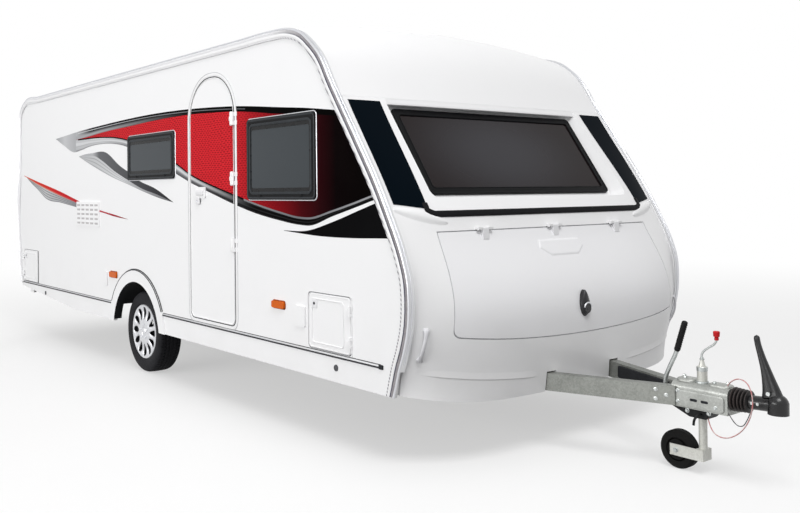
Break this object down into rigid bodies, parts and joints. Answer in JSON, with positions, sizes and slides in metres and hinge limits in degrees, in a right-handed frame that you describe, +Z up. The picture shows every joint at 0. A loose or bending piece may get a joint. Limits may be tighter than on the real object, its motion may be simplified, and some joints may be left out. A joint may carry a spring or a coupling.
{
  "type": "travel caravan",
  "caption": "Single-axle touring caravan parked level on its jockey wheel, with opening door, lockers, gas locker lid, roof hatches, corner steadies and an overrun coupling.",
  "frame": {"origin": "on the ground under the middle of the whole length and width", "axes": "+X forwards to the coupling, +Y to the caravan's left, +Z up"},
  "size_m": [7.9203, 2.537, 2.702],
  "materials": {
    "body_white": "smooth white gloss",
    "rail_aluminium": "satin anodised",
    "frame_black": "black gloss",
    "side_glass": "smoked acrylic",
    "floor_wood": "sealed plywood",
    "furniture_wood": "satin veneer",
    "galvanised": "galvanised",
    "black_plastic": "matt black",
    "black_steel": "black paint",
    "silver_paint": "silver paint",
    "tyre": "rubber",
    "amber": "amber lens",
    "red_lens": "red lens",
    "red_plastic": "red plastic",
    "chrome_steel": "zinc plated"
  },
  "bodies": {
    "caravan": {"floor": "floor_wood", "side_wall_right": "body_white", "side_wall_left": "body_white", "roof": "body_white", "front_cap": "body_white", "front_upper": "body_white", "front_moulding": "body_white", "rear_panel": "body_white", "corner_rail_right": "rail_aluminium", "corner_rail_left": "rail_aluminium", "skirt_right": "body_white", "skirt_left": "body_white", "wheel_wells": "black_plastic", "front_window_frame": "frame_black", "front_window_pane": "side_glass", "window_frames": "frame_black", "window_panes": "side_glass", "corner_panels": "frame_black", "locker_bulkhead": "floor_wood", "chassis_rails": "galvanised", "cross_members": "galvanised", "drawbar_beams": "galvanised", "axle_tube": "galvanised", "trailing_arms": "galvanised", "overrun_housing": "galvanised", "draw_bellows": "black_plastic", "coupling_head": "black_steel", "coupling_handle": "black_plastic", "handbrake_lever": "black_plastic", "jockey_outer_tube": "chrome_steel", "jockey_clamp": "black_steel", "jockey_crank": "red_plastic", "marker_lamps": "amber", "rear_lamps": "red_lens", "rear_bumper": "body_white", "wall_fittings": "body_white", "hatch_frames": "body_white", "furniture": "furniture_wood", "steady_brackets": "galvanised", "grab_handles": "black_plastic", "brake_wire": "red_plastic", "breakaway_cable": "red_plastic"},
    "entrance_door": {"entrance_door": "body_white"},
    "gas_locker_lid": {"gas_locker_lid": "body_white"},
    "front_locker_door": {"front_locker_door": "body_white"},
    "rear_locker_door": {"rear_locker_door": "body_white"},
    "front_hatch_lid": {"front_hatch_lid": "side_glass"},
    "rear_hatch_lid": {"rear_hatch_lid": "side_glass"},
    "wheel_right": {"tyre_right": "tyre", "wheel_right": "silver_paint"},
    "wheel_left": {"tyre_left": "tyre", "wheel_left": "silver_paint"},
    "jockey_stem": {"jockey_stem": "chrome_steel"},
    "jockey_fork": {"jockey_fork": "black_steel"},
    "jockey_wheel": {"jockey_wheel": "tyre"},
    "steady_front_left": {"steady_front_left": "galvanised"},
    "steady_front_right": {"steady_front_right": "galvanised"},
    "steady_rear_left": {"steady_rear_left": "galvanised"},
    "steady_rear_right": {"steady_rear_right": "galvanised"}
  },
  "joints": [
    {"name": "wheel_spin_right", "type": "hinge", "parent": "caravan", "child": "wheel_right", "pos_m": [-0.8, -1.09, 0.34], "axis": [0, 1, 0], "continuous": true},
    {"name": "wheel_spin_left", "type": "hinge", "parent": "caravan", "child": "wheel_left", "pos_m": [-0.8, 1.09, 0.34], "axis": [0, 1, 0], "continuous": true},
    {"name": "entrance_door_swing", "type": "hinge", "parent": "caravan", "child": "entrance_door", "pos_m": [0.83, -1.262, 1.46], "axis": [0, 0, 1], "range_deg": [0, 115]},
    {"name": "gas_locker_lid_lift", "type": "hinge", "parent": "caravan", "child": "gas_locker_lid", "pos_m": [2.562, 0, 1.284], "axis": [0, -1, 0], "range_deg": [0, 70]},
    {"name": "front_locker_door_swing", "type": "hinge", "parent": "caravan", "child": "front_locker_door", "pos_m": [2.115, -1.262, 0.73], "axis": [0, 0, 1], "range_deg": [0, 120]},
    {"name": "rear_locker_door_swing", "type": "hinge", "parent": "caravan", "child": "rear_locker_door", "pos_m": [-3.737, -1.262, 0.73], "axis": [0, 0, -1], "range_deg": [0, 120]},
    {"name": "front_hatch_lift", "type": "hinge", "parent": "caravan", "child": "front_hatch_lid", "pos_m": [0.226, 0, 2.668], "axis": [0, -1, 0], "range_deg": [0, 60]},
    {"name": "rear_hatch_lift", "type": "hinge", "parent": "caravan", "child": "rear_hatch_lid", "pos_m": [-3.024, 0, 2.668], "axis": [0, -1, 0], "range_deg": [0, 60]},
    {"name": "jockey_stem_slide", "type": "slide", "parent": "caravan", "child": "jockey_stem", "axis": [0, 0, 1], "range_m": [-0.04, 0.08]},
    {"name": "jockey_swivel", "type": "hinge", "parent": "jockey_stem", "child": "jockey_fork", "pos_m": [3.511, 0, 0.24], "axis": [0, 0, 1], "continuous": true},
    {"name": "jockey_wheel_spin", "type": "hinge", "parent": "jockey_fork", "child": "jockey_wheel", "pos_m": [3.378, 0, 0.103], "axis": [0, 1, 0], "continuous": true},
    {"name": "steady_rear_right_swing", "type": "hinge", "parent": "caravan", "child": "steady_rear_right", "pos_m": [-2.9, -0.632, 0.35], "axis": [0, -1, 0], "range_deg": [0, 60]},
    {"name": "steady_rear_left_swing", "type": "hinge", "parent": "caravan", "child": "steady_rear_left", "pos_m": [-2.9, 0.632, 0.35], "axis": [0, -1, 0], "range_deg": [0, 60]},
    {"name": "steady_front_right_swing", "type": "hinge", "parent": "caravan", "child": "steady_front_right", "pos_m": [1.85, -0.632, 0.35], "axis": [0, 1, 0], "range_deg": [0, 60]},
    {"name": "steady_front_left_swing", "type": "hinge", "parent": "caravan", "child": "steady_front_left", "pos_m": [1.85, 0.632, 0.35], "axis": [0, 1, 0], "range_deg": [0, 60]}
  ]
}
